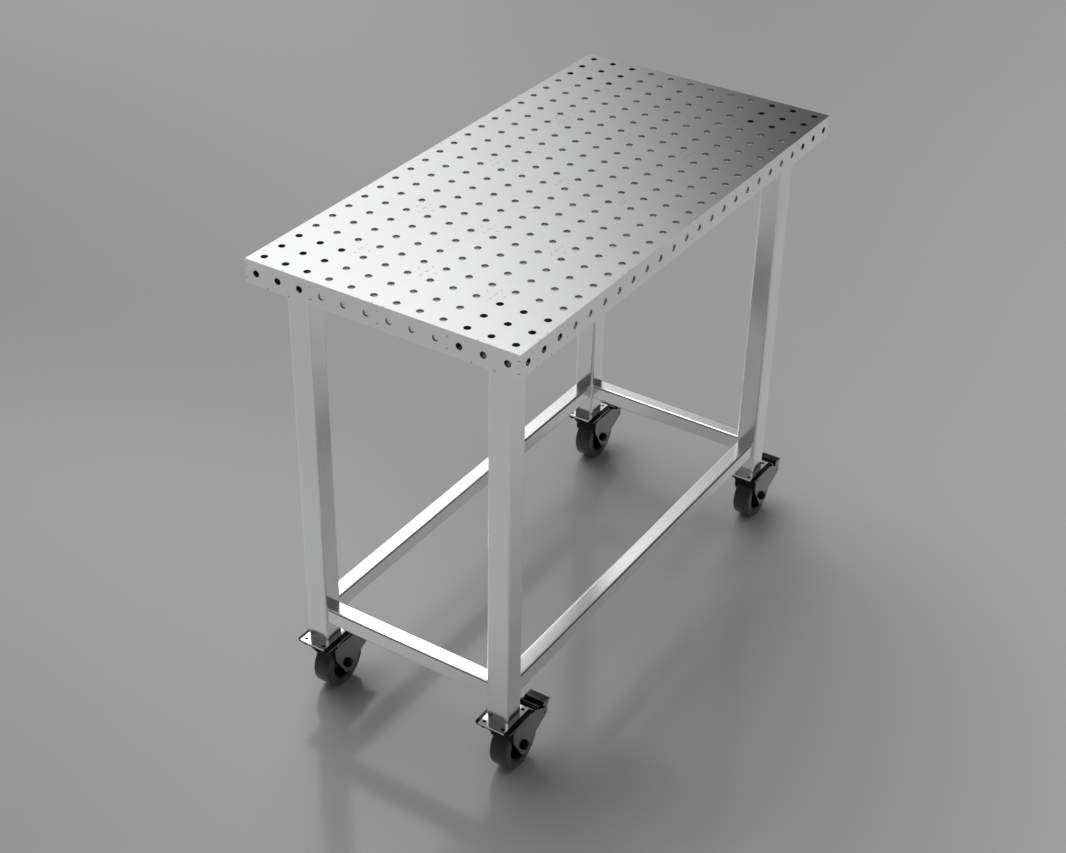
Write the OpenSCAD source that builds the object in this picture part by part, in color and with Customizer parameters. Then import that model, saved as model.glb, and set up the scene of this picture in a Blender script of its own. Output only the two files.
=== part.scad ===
// Welding fixture table: a perforated tab-and-slot steel top on a square-tube frame,
// carried by four swivel casters with brakes.
// Units are millimetres. The centre of the work surface is the origin, x runs along the table
// and -y is its front. Heights in the caster and the frame are counted up from the floor.

/* [Table] */
// Length of the work surface along x
table_length = 1219.2; // [1016:50.8:1524]
// Width of the work surface along y
table_width = 609.6; // [508:50.8:762]
// Height of the work surface above the floor
table_height = 1066.8; // [762:0.1:1219.2]
// Thickness of the top, the skirts, the ribs and the corner plates
sheet = 4.7625; // [3.175:1.5875:6.35]
// Depth of the box from the work surface to the bottom of its skirts
box_depth = 50.8; // [44.8:0.5:70.8]

/* [Fixture holes] */
// Spacing of the fixture holes along and across the top
hole_pitch = 50.8; // [48.8:0.5:56.8]
// Diameter of each fixture hole
hole_diameter = 14.3; // [8.3:0.5:16.3]

/* [Tabs and slots] */
// Diameter of the relief hole at each end of a slot
relief_diameter = 2.8; // [1:0.1:4]
// Play between a tab's faces and its slot, on each side
slot_play = 0.05; // [0.05:0.05:0.3]
// Gap at each end of a tab
tab_end_gap = 0.4; // [0.1:0.1:0.8]
// Length of the skirt tabs that stand up through the top
skirt_tab = 23.6; // [15.6:0.5:30.6]
// Height of the tabs on the ends of the ribs and the long skirts
end_tab = 24.2; // [15.2:0.5:26.2]
// Half length of the rib tabs in the top where two ribs cross
crossing_reach = 17.9; // [12.9:0.5:20.9]
// Distance from a crossing's centre to the start of the long rib's tabs
crossing_start = 4; // [3.5:0.1:6]
// Side of each square corner plate
corner_size = 152.4; // [132.4:0.5:172.4]
// Length of the corner plate tabs in the skirts
corner_tab = 47.5; // [30.5:0.5:60.5]

/* [Frame] */
// Side of the square leg tubes
leg_size = 50.8; // [46.8:0.5:56.8]
// Outer corner radius of the leg tubes
leg_corner = 6; // [3.5:0.5:6]
// Wall of the leg tubes
leg_wall = 3.2; // [2.2:0.1:3.4]
// Side of the square rail tubes
rail_size = 38.1; // [25.1:0.5:38.1]
// Outer corner radius of the rail tubes
rail_corner = 5; // [3.5:0.5:8]
// Wall of the rail tubes
rail_wall = 3.2; // [2.2:0.1:3.4]
// Height of the rails' undersides above the foot plates
rail_rise = 50.8; // [20.8:0.5:150.8]

/* [Foot plates] */
// Length of each foot plate along x
foot_length = 92.4; // [88.4:0.5:98.4]
// Width of each foot plate along y
foot_width = 62; // [58:0.5:72]
// Thickness of each foot plate
foot_sheet = 3.2; // [2.2:0.1:6.2]
// Spacing of the caster bolts along x
bolt_spacing_x = 73; // [70:0.5:76]
// Spacing of the caster bolts along y
bolt_spacing_y = 44.6; // [40.6:0.5:46.6]
// Shank diameter of the caster bolts
bolt_diameter = 7.8; // [5.8:0.1:8.2]
// Size of the caster bolt heads across their flats
bolt_head = 13; // [11:0.5:13.5]
// Height of the caster bolt heads
bolt_head_height = 5.3; // [3.3:0.1:6.5]
// Depth of the bolt ends below the foot plate's top
bolt_sink = 0.8; // [0:0.1:1.5]

/* [Caster plate and swivel] */
// Length of the caster's top plate along x
plate_length = 92; // [88:0.5:98]
// Width of the caster's top plate along y
plate_width = 82.5; // [72.5:0.5:92.5]
// Thickness of the caster's top plate
plate_sheet = 3; // [2:0.1:5]
// Corner radius of the caster's top plate
plate_corner = 8; // [2:0.5:10]
// Height of the swivel drum under the plate
drum_height = 7.45; // [6.45:0.1:10.45]
// Gap between the drum and the caster bolt heads
drum_gap = 0.75; // [0.35:0.1:2.55]
// Gap between the upper and the lower half of the swivel race
race_gap = 1.5; // [0.8:0.1:2.4]
// Height of the lower race on the fork
boss_height = 7.25; // [5.25:0.1:9.25]
// Step from the drum's wall in to the lower race's wall
boss_step = 1; // [0:0.1:3]
// Diameter of the swivel balls
ball_diameter = 6.35; // [4.75:0.1:6.95]
// Number of balls in each swivel race
ball_count = 12; // [8:1:16]
// Diameter of the kingpin
kingpin_diameter = 12; // [8:0.5:14]
// Diameter of the kingpin's upper head
kingpin_head = 18; // [16:0.5:20]
// Diameter of the kingpin's lower head
kingpin_foot_diameter = 16; // [14:0.5:16.5]
// Height of the kingpin's upper head, sunk in the plate
kingpin_top = 4.5; // [3:0.1:6]
// Height of the kingpin's lower head, under the fork
kingpin_foot = 5.5; // [3:0.1:6]

/* [Wheel] */
// Diameter of the wheel
wheel_diameter = 117.5; // [100:0.5:125]
// Width of the tyre
wheel_width = 41; // [32:0.5:44]
// Distance from the swivel axis to the axle
trail = 36.2; // [32.2:0.5:40.2]
// Rounding of the tyre's shoulders
tyre_shoulder = 4; // [1:0.5:6]
// Thickness of the tyre over the hub
tyre_depth = 17.25; // [10.25:0.5:22.25]
// Height of the hub's rib in the tyre
hub_key = 2; // [1:0.5:4]
// Width of the hub's rib in the tyre
hub_key_width = 10; // [6:0.5:16]
// Thickness of the hub's rim
rim_depth = 4.5; // [3:0.5:7]
// Setback of the hub's rim from the tyre's side
rim_setback = 1.5; // [0.5:0.5:4]
// Thickness of the hub's disc
web = 7; // [4:0.5:12]
// Wall of the hub's centre
hub_wall = 7; // [4:0.5:10]
// Diameter of the axle bolt
axle_diameter = 11.6; // [8.6:0.1:12.6]
// Wall of the sleeve on the axle bolt
sleeve_wall = 2.2; // [1.5:0.1:3]
// Size of the axle nut and bolt head across their flats
axle_nut = 18; // [16:0.5:20]
// Height of the axle nut and bolt head
axle_nut_height = 6; // [4:0.5:8]
// Diameter of the washer under the axle nut
washer_diameter = 23; // [21:0.5:26]
// Thickness of the washer under the axle nut
washer_sheet = 1.4; // [1:0.1:2.5]
// Length of bolt that stands out of the axle nut
axle_end = 1.6; // [0.5:0.1:4]

/* [Fork] */
// Thickness of the pressed fork
fork_sheet = 3; // [2:0.1:4]
// Outer radius of the fork's bends
fork_bend = 8.5; // [6.5:0.5:10.5]
// Gap between the tyre's side and the fork
side_gap = 4.5; // [3.5:0.1:8]
// Gap between the top of the wheel and the fork's crown
crown_gap = 9.5; // [8.5:0.5:15.5]
// Distance of the fork's front wall ahead of the swivel axis
fork_front = 11.5; // [11:0.5:16]
// Distance of the crown's back edge behind the swivel axis
fork_back = 62.3; // [52.3:0.5:66.3]
// Gap between the fork's front lip and the wheel
lip_gap = 9; // [4:0.5:12]

/* [Brake pedal] */
// Thickness of the brake pedal
pedal_sheet = 2.5; // [1.5:0.1:3.5]
// Gap between the pedal and each side of the fork
pedal_side_gap = 1.5; // [0.5:0.1:3]
// Distance from the pedal's pivot to the outer end of its tread
pedal_reach = 33; // [28:0.5:40]
// Diameter of the pedal's pivot pin
pivot_diameter = 6; // [4:0.5:7]
// Radius of the pedal's barrel round the pin
barrel_radius = 6.5; // [5.5:0.5:8]
// Rounding of the brake shoe
shoe_radius = 4; // [2.5:0.5:5]
// Width of the brake shoe
shoe_width = 34; // [20:0.5:36]
// Travel of the pedal from released to pressed, in degrees
pedal_travel = 15; // [8:1:20]
// Gap left between the shoe and the tyre with the pedal pressed
shoe_gap = 0.3; // [0.3:0.1:1]

/* [Fits] */
// Play round a pin or bolt that doesn't turn in its hole
pin_play = 0.2; // [0.1:0.05:0.3]
// Play round a caster bolt in its plate
bolt_play = 0.4; // [0.3:0.05:0.6]
// Play round a part that turns
running_play = 0.1; // [0.05:0.05:0.3]
// Gap between the swivel balls and their race
ball_play = 0.1; // [0.05:0.05:0.2]

/* [Hidden] */
$fn = 64;
// Distance that every cut runs past the face it opens
overrun = 1;
// Places of the cross ribs as shares of the grid's length, and of the long ribs as shares of its width
cross_rib_shares = [0.125, 0.29, 0.5, 0.71, 0.875];
long_rib_shares = [0.25, 0.5, 0.75];
// Radius of the ball circle as a share of the drum's radius
ball_circle_share = 0.7;
// Corners of the fork's side, from the axle, and their roundings, as shares of the wheel's radius
fork_front_corner_shares = [-0.812, 0.77, 0.2];
fork_heel_shares = [0.124, -0.843, 0.369];
fork_hollow_shares = [0.622, 0.013, 0.374];
fork_nose_shares = [1.707, 0.541, 0.187];
// The pedal's pivot, from the axle, as shares of the wheel's radius
pivot_shares = [1.287, 0.5523];
// Bends of the pedal's strip, from its pivot, as shares of its reach
strip_shares = [[-0.6, 0.87], [-0.08, 0.16], [0.14, 0.62], [0.8, 0.53]];
// Corners of the pedal's side flanges, from its pivot, and their roundings, as shares of its reach
flange_shares = [
    [-0.08, 0.16, 0],
    [-0.2, -0.24, 0.1],
    [0.2, -0.24, 0.16],
    [0.42, -0.04, 0.1],
    [0.8, 0.53, 0],
    [0.14, 0.62, 0]
];

columns = floor(table_length / hole_pitch);
rows = floor(table_width / hole_pitch);
cross_rib_x = [for (share = cross_rib_shares) (round(share * columns) - columns / 2) * hole_pitch];
long_rib_y = [for (share = long_rib_shares) (round(share * rows) - rows / 2) * hole_pitch];
leg_x = (table_length - corner_size) / 2;
leg_y = (table_width - corner_size) / 2;
short_skirt_tabs = [-leg_y, long_rib_y[1], leg_y];
long_skirt_tabs = [-leg_x, cross_rib_x[1], cross_rib_x[2], cross_rib_x[3], leg_x];

wheel_radius = wheel_diameter / 2;
crown_under = wheel_diameter + crown_gap;
crown_top = crown_under + fork_sheet;
boss_top = crown_top + boss_height;
drum_under = boss_top + race_gap;
plate_under = drum_under + drum_height;
plate_top = plate_under + plate_sheet;
foot_top = plate_top + foot_sheet;
rail_height = foot_top + rail_rise + rail_size / 2;

bolt_head_corner = bolt_head / sqrt(3);
drum_radius = norm([bolt_spacing_x, bolt_spacing_y]) / 2 - bolt_head_corner - drum_gap;
boss_radius = drum_radius - boss_step;
ball_circle = drum_radius * ball_circle_share;
ball_height = (boss_top + drum_under) / 2;

fork_gap = wheel_width + 2 * side_gap;
fork_width = fork_gap + 2 * fork_sheet;
fork_lip = wheel_radius + sqrt(pow(wheel_radius, 2) - pow(trail + fork_front, 2)) + lip_gap;
fork_end = trail + wheel_radius * fork_nose_shares[0];
sleeve_diameter = axle_diameter + 2 * (running_play + sleeve_wall);
hub_bore = sleeve_diameter + 2 * running_play;
hub_centre = hub_bore + 2 * hub_wall;
tyre_bore = wheel_radius - tyre_depth;
// Ends of the axle bolt, from the wheel's middle: its head, and its tip past the nut
axle_head_end = (fork_width + axle_nut_height) / 2;
axle_nut_end = fork_width / 2 + washer_sheet + axle_nut_height + axle_end;
bolt_hole = bolt_diameter + 2 * bolt_play;
kingpin_bottom = crown_under - running_play - kingpin_foot;
crossing_tab_middle = (crossing_start + crossing_reach) / 2;
rim_radius = tyre_bore - pin_play;

pivot_arm = wheel_radius * pivot_shares;
pivot_angle = atan2(pivot_arm[1], pivot_arm[0]);
shoe_reach = norm(pivot_arm) - wheel_radius - shoe_gap;
shoe_angle = 180 + pivot_angle + pedal_travel;
pedal_width = fork_gap - 2 * pedal_side_gap;

steel = [0.66, 0.67, 0.68];
bright_steel = [0.82, 0.83, 0.84];
black_paint = [0.1, 0.1, 0.11];
dark_tyre = [0.2, 0.2, 0.21];
black_plastic = [0.05, 0.05, 0.06];
zinc = [0.6, 0.61, 0.62];

front_left = [-1, -1];
front_right = [1, -1];
back_left = [-1, 1];
back_right = [1, 1];
corners = [front_left, front_right, back_left, back_right];

// Which node to draw

// Direction from one point to another
function toward(a, b) = (b - a) / norm(b - a);
function flat(corner) = [corner[0], corner[1]];
function before(list, i) = flat(list[(i + len(list) - 1) % len(list)]);
function after(list, i) = flat(list[(i + 1) % len(list)]);
// Cosine of the angle between the two sides that meet at corner i
function side_cosine(list, i) =
    toward(flat(list[i]), before(list, i)) * toward(flat(list[i]), after(list, i));
function half_tangent(list, i) = sqrt((1 - side_cosine(list, i)) / (1 + side_cosine(list, i)));
function cut_back(list, i) = list[i][2] / half_tangent(list, i);
function arc_start(list, i) = flat(list[i]) + cut_back(list, i) * toward(flat(list[i]), before(list, i));
function arc_end(list, i) = flat(list[i]) + cut_back(list, i) * toward(flat(list[i]), after(list, i));
function turn(list, i) = cross(flat(list[i]) - before(list, i), after(list, i) - flat(list[i]));
function arc_centre(list, i) = arc_start(list, i) + list[i][2] * inward(list, i);
// Direction from the start of corner i's rounding to the rounding's centre
function inward(list, i) = sign(turn(list, i)) * quarter_turn(toward(before(list, i), flat(list[i])));
function quarter_turn(v) = [-v[1], v[0]];
// The corners [x, y, radius] of an outline scaled from shares and moved
function placed(shares, scale, origin) = [
    origin[0] + scale * shares[0],
    origin[1] + scale * shares[1],
    scale * shares[2]
];
function placed_point(shares, scale) = [scale * shares[0], scale * shares[1]];

// The sliver between a rounding's chord and its arc
module corner_arc(list, i) {
    intersection() {
        translate(arc_centre(list, i))
            circle(r = list[i][2]);
        polygon([arc_start(list, i), flat(list[i]), arc_end(list, i)]);
    }
}

// Outline through corners [x, y, radius], listed anticlockwise
module rounded_outline(list) {
    rounded = [for (i = [0 : len(list) - 1]) if (list[i][2] > 0) i];
    difference() {
        union() {
            polygon([
                for (i = [0 : len(list) - 1])
                    for (point = list[i][2] > 0 ? [arc_start(list, i), arc_end(list, i)] : [flat(list[i])])
                        point
            ]);
            for (i = rounded)
                if (turn(list, i) > 0)
                    corner_arc(list, i);
        }
        for (i = rounded)
            if (turn(list, i) < 0)
                corner_arc(list, i);
    }
}

module rounded_rectangle(length, width, radius) {
    rounded_outline([
        [-length / 2, -width / 2, radius],
        [length / 2, -width / 2, radius],
        [length / 2, width / 2, radius],
        [-length / 2, width / 2, radius]
    ]);
}

// Stands a flat outline up across x, its first axis along y
module across_x(thickness) {
    rotate([90, 0, 90])
        linear_extrude(height = thickness, center = true)
            children();
}

// Stands a flat outline up across y, its first axis along x
module across_y(thickness) {
    rotate([90, 0, 0])
        linear_extrude(height = thickness, center = true)
            children();
}

// Square tube section
module tube_section(size, corner, wall) {
    difference() {
        rounded_rectangle(size, size, corner);
        rounded_rectangle(size - 2 * wall, size - 2 * wall, corner - wall);
    }
}

// Slot along the first axis for a tab of the given length, with a relief hole at each end
module slot(tab) {
    square([tab + 2 * tab_end_gap, sheet + 2 * slot_play], center = true);
    for (side = [-1, 1])
        translate([side * (tab / 2 + tab_end_gap), 0])
            circle(d = relief_diameter);
}

// Notch in an edge on the first axis, with the sheet below it, and its relief holes
module edge_notch(tab) {
    translate([-tab / 2 - tab_end_gap, -sheet - slot_play])
        square([tab + 2 * tab_end_gap, sheet + slot_play + overrun]);
    for (side = [-1, 1])
        translate([side * (tab / 2 + tab_end_gap), -sheet / 2])
            circle(d = relief_diameter);
}

// Slots in the top where a cross rib and a long rib meet
module crossing_slots() {
    rotate(90)
        slot(2 * crossing_reach);
    for (side = [-1, 1])
        translate([side * (crossing_start + crossing_reach) / 2, 0])
            slot(crossing_reach - crossing_start);
}

module hole_grid() {
    for (column = [0 : columns - 1])
        for (row = [0 : rows - 1])
            translate([(column + 0.5 - columns / 2) * hole_pitch, (row + 0.5 - rows / 2) * hole_pitch])
                circle(d = hole_diameter);
}

module top_outline() {
    difference() {
        square([table_length, table_width], center = true);
        hole_grid();
        for (x = cross_rib_x)
            for (y = long_rib_y)
                translate([x, y])
                    crossing_slots();
        for (x = long_skirt_tabs) {
            translate([x, table_width / 2])
                edge_notch(skirt_tab);
            translate([x, -table_width / 2])
                rotate(180)
                    edge_notch(skirt_tab);
        }
        for (y = short_skirt_tabs) {
            translate([table_length / 2, y])
                rotate(-90)
                    edge_notch(skirt_tab);
            translate([-table_length / 2, y])
                rotate(90)
                    edge_notch(skirt_tab);
        }
    }
}

// Row of tabs up to the work surface
module top_tabs(places, tab) {
    for (place = places)
        translate([place - tab / 2, -box_depth / 2])
            square([tab, box_depth / 2]);
}

// Row of fixture holes along a skirt
module side_holes(count) {
    for (i = [0 : count - 1])
        translate([(i + 0.5 - count / 2) * hole_pitch, -box_depth / 2])
            circle(d = hole_diameter);
}

// Slots for the rib ends, and notches for the corner plates, along a skirt
module skirt_slots(rib_places, corner_place) {
    for (place = rib_places)
        translate([place, -box_depth / 2])
            rotate(90)
                slot(end_tab);
    for (side = [-1, 1])
        translate([side * corner_place, -box_depth])
            rotate(180)
                edge_notch(corner_tab);
}

module short_skirt_outline() {
    difference() {
        union() {
            translate([-table_width / 2, -box_depth])
                square([table_width, box_depth - sheet]);
            top_tabs(short_skirt_tabs, skirt_tab);
        }
        side_holes(rows);
        skirt_slots(long_rib_y, leg_y);
        for (side = [-1, 1])
            translate([side * table_width / 2, -box_depth / 2])
                rotate(-side * 90)
                    edge_notch(end_tab);
    }
}

module long_skirt_outline() {
    difference() {
        union() {
            translate([sheet - table_length / 2, -box_depth])
                square([table_length - 2 * sheet, box_depth - sheet]);
            translate([0, -box_depth / 2])
                square([table_length, end_tab], center = true);
            top_tabs(long_skirt_tabs, skirt_tab);
        }
        side_holes(columns);
        skirt_slots(cross_rib_x, leg_x);
    }
}

// Rib between two skirts that stand the given width apart over their faces
module rib_outline(width) {
    translate([sheet - width / 2, sheet - box_depth])
        square([width - 2 * sheet, box_depth - 2 * sheet]);
    translate([0, -box_depth / 2])
        square([width, end_tab], center = true);
}

module cross_rib_outline() {
    difference() {
        union() {
            rib_outline(table_width);
            top_tabs(long_rib_y, 2 * crossing_reach);
        }
        for (y = long_rib_y)
            translate([y - sheet / 2 - slot_play, -box_depth])
                square([sheet + 2 * slot_play, box_depth / 2 + slot_play]);
    }
}

module long_rib_outline() {
    difference() {
        union() {
            rib_outline(table_length);
            for (x = cross_rib_x)
                for (side = [-1, 1])
                    top_tabs([x + side * crossing_tab_middle], crossing_reach - crossing_start);
        }
        for (x = cross_rib_x)
            translate([x - sheet / 2 - slot_play, -box_depth / 2 - slot_play])
                square([sheet + 2 * slot_play, box_depth]);
    }
}

module cross_rib(x) {
    color(steel)
        translate([x, 0, 0])
            across_x(sheet)
                cross_rib_outline();
}

module long_rib(y) {
    color(steel)
        translate([0, y, 0])
            across_y(sheet)
                long_rib_outline();
}

module short_skirt(side) {
    color(steel)
        translate([side * (table_length - sheet) / 2, 0, 0])
            across_x(sheet)
                short_skirt_outline();
}

module long_skirt(side) {
    color(steel)
        translate([0, side * (table_width - sheet) / 2, 0])
            across_y(sheet)
                long_skirt_outline();
}

// Plate that closes the box over a leg, tabbed into the skirts
module corner_plate(corner) {
    color(steel)
        translate([corner[0] * leg_x, corner[1] * leg_y, -box_depth])
            linear_extrude(height = sheet) {
                translate([-corner[0] * sheet / 2, -corner[1] * sheet / 2])
                    square(corner_size - sheet, center = true);
                translate([corner[0] * corner_size / 4, 0])
                    square([corner_size / 2, corner_tab], center = true);
                translate([0, corner[1] * corner_size / 4])
                    square([corner_tab, corner_size / 2], center = true);
            }
}

module leg(corner) {
    color(steel)
        translate([corner[0] * leg_x, corner[1] * leg_y, foot_top - table_height])
            linear_extrude(height = table_height - box_depth - foot_top)
                tube_section(leg_size, leg_corner, leg_wall);
}

module long_rail(side) {
    color(steel)
        translate([0, side * leg_y, rail_height - table_height])
            across_x(2 * leg_x - leg_size)
                tube_section(rail_size, rail_corner, rail_wall);
}

module short_rail(side) {
    color(steel)
        translate([side * leg_x, 0, rail_height - table_height])
            across_y(2 * leg_y - leg_size)
                tube_section(rail_size, rail_corner, rail_wall);
}

// Places something at each of the four caster bolts of one corner
module at_bolts() {
    for (side = corners)
        translate([side[0] * bolt_spacing_x / 2, side[1] * bolt_spacing_y / 2, 0])
            children();
}

// Places something on the swivel axis of one corner, from the floor up
module at_swivel(corner) {
    translate([corner[0] * leg_x, corner[1] * leg_y, -table_height])
        children();
}

// Places something on the axle of one corner
module at_axle(corner) {
    at_swivel(corner)
        translate([trail, 0, wheel_radius])
            children();
}

// Cylinder along y about the origin
module bar_y(diameter, length) {
    rotate([90, 0, 0])
        cylinder(d = diameter, h = length, center = true);
}

// Hexagonal prism along z that stands on the origin
module hexagon(flats, height) {
    cylinder(d = 2 * flats / sqrt(3), h = height, $fn = 6);
}

module foot_plate(corner) {
    color(bright_steel)
        at_swivel(corner)
            difference() {
                translate([-foot_length / 2, -foot_width / 2, plate_top])
                    cube([foot_length, foot_width, foot_sheet]);
                at_bolts()
                    translate([0, 0, plate_top - overrun])
                        cylinder(d = bolt_diameter + 2 * pin_play, h = foot_sheet + 2 * overrun);
            }
}

module caster_bolt() {
    translate([0, 0, plate_under - bolt_head_height])
        hexagon(bolt_head, bolt_head_height);
    translate([0, 0, plate_under - bolt_head_height / 2])
        cylinder(d = bolt_diameter, h = foot_top - bolt_sink - plate_under + bolt_head_height / 2);
}

// Ring-shaped groove for the swivel balls
module ball_groove() {
    translate([0, 0, ball_height])
        rotate_extrude()
            translate([ball_circle, 0])
                circle(d = ball_diameter + 2 * ball_play);
}

module caster_plate(corner) {
    color(black_paint)
        at_swivel(corner)
            difference() {
                union() {
                    translate([0, 0, plate_under])
                        linear_extrude(height = plate_sheet)
                            rounded_rectangle(plate_length, plate_width, plate_corner);
                    translate([0, 0, drum_under])
                        cylinder(r = drum_radius, h = drum_height + plate_sheet / 2);
                }
                at_bolts()
                    translate([0, 0, plate_under - overrun])
                        cylinder(d = bolt_hole, h = plate_sheet + 2 * overrun);
                translate([0, 0, drum_under - overrun])
                    cylinder(d = kingpin_diameter + 2 * pin_play, h = drum_height + plate_sheet);
                translate([0, 0, plate_top - kingpin_top])
                    cylinder(d = kingpin_head + 2 * pin_play, h = kingpin_top + overrun);
                ball_groove();
            }
}

module kingpin() {
    translate([0, 0, kingpin_bottom]) {
        cylinder(d = kingpin_foot_diameter, h = kingpin_foot);
        cylinder(d = kingpin_diameter, h = plate_top - pin_play - kingpin_bottom);
    }
    translate([0, 0, plate_top - kingpin_top])
        cylinder(d = kingpin_head, h = kingpin_top - pin_play);
}

module ball_ring() {
    for (i = [0 : ball_count - 1])
        rotate(i * 360 / ball_count)
            translate([ball_circle, 0, ball_height])
                sphere(d = ball_diameter);
}

// Side outline of the fork, from the swivel axis
module fork_side() {
    rounded_outline([
        [-fork_front, crown_top, fork_bend],
        placed(fork_front_corner_shares, wheel_radius, [trail, wheel_radius]),
        placed(fork_heel_shares, wheel_radius, [trail, wheel_radius]),
        placed(fork_hollow_shares, wheel_radius, [trail, wheel_radius]),
        placed(fork_nose_shares, wheel_radius, [trail, wheel_radius]),
        [fork_back, crown_top, 0]
    ]);
}

// Section across the fork, set in from its outer faces
module fork_section(inset) {
    rounded_outline([
        [-fork_width / 2 + inset, 0, 0],
        [fork_width / 2 - inset, 0, 0],
        [fork_width / 2 - inset, crown_top - inset, fork_bend - inset],
        [-fork_width / 2 + inset, crown_top - inset, fork_bend - inset]
    ]);
}

// Plan of the fork with its drawn front, set in from its outer faces
module fork_plan(inset) {
    rounded_outline([
        [-fork_front + inset, fork_width / 2 - inset, fork_bend - inset],
        [-fork_front + inset, -fork_width / 2 + inset, fork_bend - inset],
        [fork_end, -fork_width / 2 + inset, 0],
        [fork_end, fork_width / 2 - inset, 0]
    ]);
}

module fork_space() {
    intersection() {
        translate([(fork_end - fork_front) / 2, 0, 0])
            across_x(fork_end + fork_front + 2 * overrun)
                fork_section(fork_sheet);
        linear_extrude(height = crown_top)
            fork_plan(fork_sheet);
    }
    translate([-fork_front - overrun, -fork_gap / 2, 0])
        cube([fork_end + fork_front + 2 * overrun, fork_gap, fork_lip]);
}

module fork(corner) {
    color(black_paint)
        at_swivel(corner)
            difference() {
                union() {
                    difference() {
                        intersection() {
                            across_y(fork_width)
                                fork_side();
                            translate([(fork_end - fork_front) / 2, 0, 0])
                                across_x(fork_end + fork_front)
                                    fork_section(0);
                            linear_extrude(height = crown_top)
                                fork_plan(0);
                        }
                        fork_space();
                    }
                    translate([0, 0, crown_under])
                        cylinder(r = boss_radius, h = boss_top - crown_under);
                }
                ball_groove();
                translate([0, 0, crown_under - overrun])
                    cylinder(
                        d = kingpin_diameter + 2 * running_play,
                        h = boss_top - crown_under + 2 * overrun
                    );
                translate([trail, 0, wheel_radius])
                    bar_y(axle_diameter + 2 * pin_play, fork_width + 2 * overrun);
                translate([trail + pivot_arm[0], 0, wheel_radius + pivot_arm[1]])
                    bar_y(pivot_diameter + 2 * pin_play, fork_width + 2 * overrun);
            }
}

module axle_bolt() {
    translate([0, fork_width / 2, 0])
        rotate([-90, 0, 0])
            hexagon(axle_nut, axle_nut_height);
    translate([0, (axle_head_end - axle_nut_end) / 2, 0])
        bar_y(axle_diameter, axle_head_end + axle_nut_end);
}

module axle_nut_and_washer() {
    difference() {
        translate([0, -fork_width / 2, 0])
            rotate([90, 0, 0]) {
                cylinder(d = washer_diameter, h = washer_sheet);
                hexagon(axle_nut, washer_sheet + axle_nut_height);
            }
        translate([0, -fork_width / 2, 0])
            bar_y(axle_diameter + 2 * pin_play, 2 * (washer_sheet + axle_nut_height + overrun));
    }
}

// Axle bolt, its nut and the pedal's pivot pin
module fork_pins(corner) {
    color(zinc)
        at_axle(corner) {
            axle_bolt();
            axle_nut_and_washer();
            translate([pivot_arm[0], 0, pivot_arm[1]])
                bar_y(pivot_diameter, fork_width);
        }
}

module sleeve(corner) {
    color(zinc)
        at_axle(corner)
            difference() {
                bar_y(sleeve_diameter, fork_gap);
                bar_y(axle_diameter + 2 * running_play, fork_gap + 2 * overrun);
            }
}

module hub(corner) {
    color(black_plastic)
        at_axle(corner)
            rotate([90, 0, 0])
                rotate_extrude() {
                    translate([hub_bore / 2, -wheel_width / 2 - running_play])
                        square([hub_wall, wheel_width + 2 * running_play]);
                    translate([(hub_bore + hub_wall) / 2, -web / 2])
                        square([rim_radius - rim_depth / 2 - (hub_bore + hub_wall) / 2, web]);
                    translate([rim_radius - rim_depth, rim_setback - wheel_width / 2])
                        square([rim_depth, wheel_width - 2 * rim_setback]);
                    translate([rim_radius - rim_depth / 2, -hub_key_width / 2])
                        square([hub_key + rim_depth / 2, hub_key_width]);
                }
}

module tyre(corner) {
    color(dark_tyre)
        at_axle(corner)
            rotate([90, 0, 0])
                rotate_extrude()
                    difference() {
                        rounded_outline([
                            [tyre_bore, -wheel_width / 2, 0],
                            [wheel_radius, -wheel_width / 2, tyre_shoulder],
                            [wheel_radius, wheel_width / 2, tyre_shoulder],
                            [tyre_bore, wheel_width / 2, 0]
                        ]);
                        translate([tyre_bore - overrun, -hub_key_width / 2 - pin_play])
                            square([hub_key + overrun, hub_key_width + 2 * pin_play]);
                    }
}

// Point on one face of a bent sheet, beside point i of the line down its middle
function along(list, i) = toward(list[i], list[i + 1]);
function beside(list, i) = quarter_turn(along(list, i));
function face_point(list, i, aside) =
    i == 0 ? list[i] + aside * beside(list, i)
    : i == len(list) - 1 ? list[i] + aside * beside(list, i - 1)
    : list[i] + aside * (beside(list, i - 1) + beside(list, i)) / (1 + along(list, i - 1) * along(list, i));

module bent_sheet(list, thickness) {
    polygon([
        for (i = [0 : len(list) - 1])
            face_point(list, i, -thickness / 2),
        for (i = [len(list) - 1 : -1 : 0])
            face_point(list, i, thickness / 2)
    ]);
}

// The pedal's strip with the barrel under it, seen along the pivot
module pedal_section() {
    bent_sheet([for (shares = strip_shares) placed_point(shares, pedal_reach)], pedal_sheet);
    circle(r = barrel_radius);
}

module pedal_flange() {
    rounded_outline([for (shares = flange_shares) placed(shares, pedal_reach, [0, 0])]);
}

module shoe_arm() {
    rotate(shoe_angle) {
        translate([0, -shoe_radius])
            square([shoe_reach - shoe_radius, 2 * shoe_radius]);
        translate([shoe_reach - shoe_radius, 0])
            circle(r = shoe_radius);
    }
}

module pedal(corner) {
    color(black_paint)
        at_axle(corner)
            translate([pivot_arm[0], 0, pivot_arm[1]])
                difference() {
                    union() {
                        across_y(pedal_width)
                            pedal_section();
                        for (side = [-1, 1])
                            translate([0, side * (pedal_width - pedal_sheet) / 2, 0])
                                across_y(pedal_sheet) {
                                    pedal_section();
                                    pedal_flange();
                                }
                        across_y(shoe_width)
                            shoe_arm();
                    }
                    bar_y(pivot_diameter + 2 * running_play, pedal_width + 2 * overrun);
                }
}

module top_plate() {
    color(steel)
        translate([0, 0, -sheet])
            linear_extrude(height = sheet)
                top_outline();
}

module skirt_left() {
    short_skirt(-1);
}

module skirt_right() {
    short_skirt(1);
}

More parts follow.
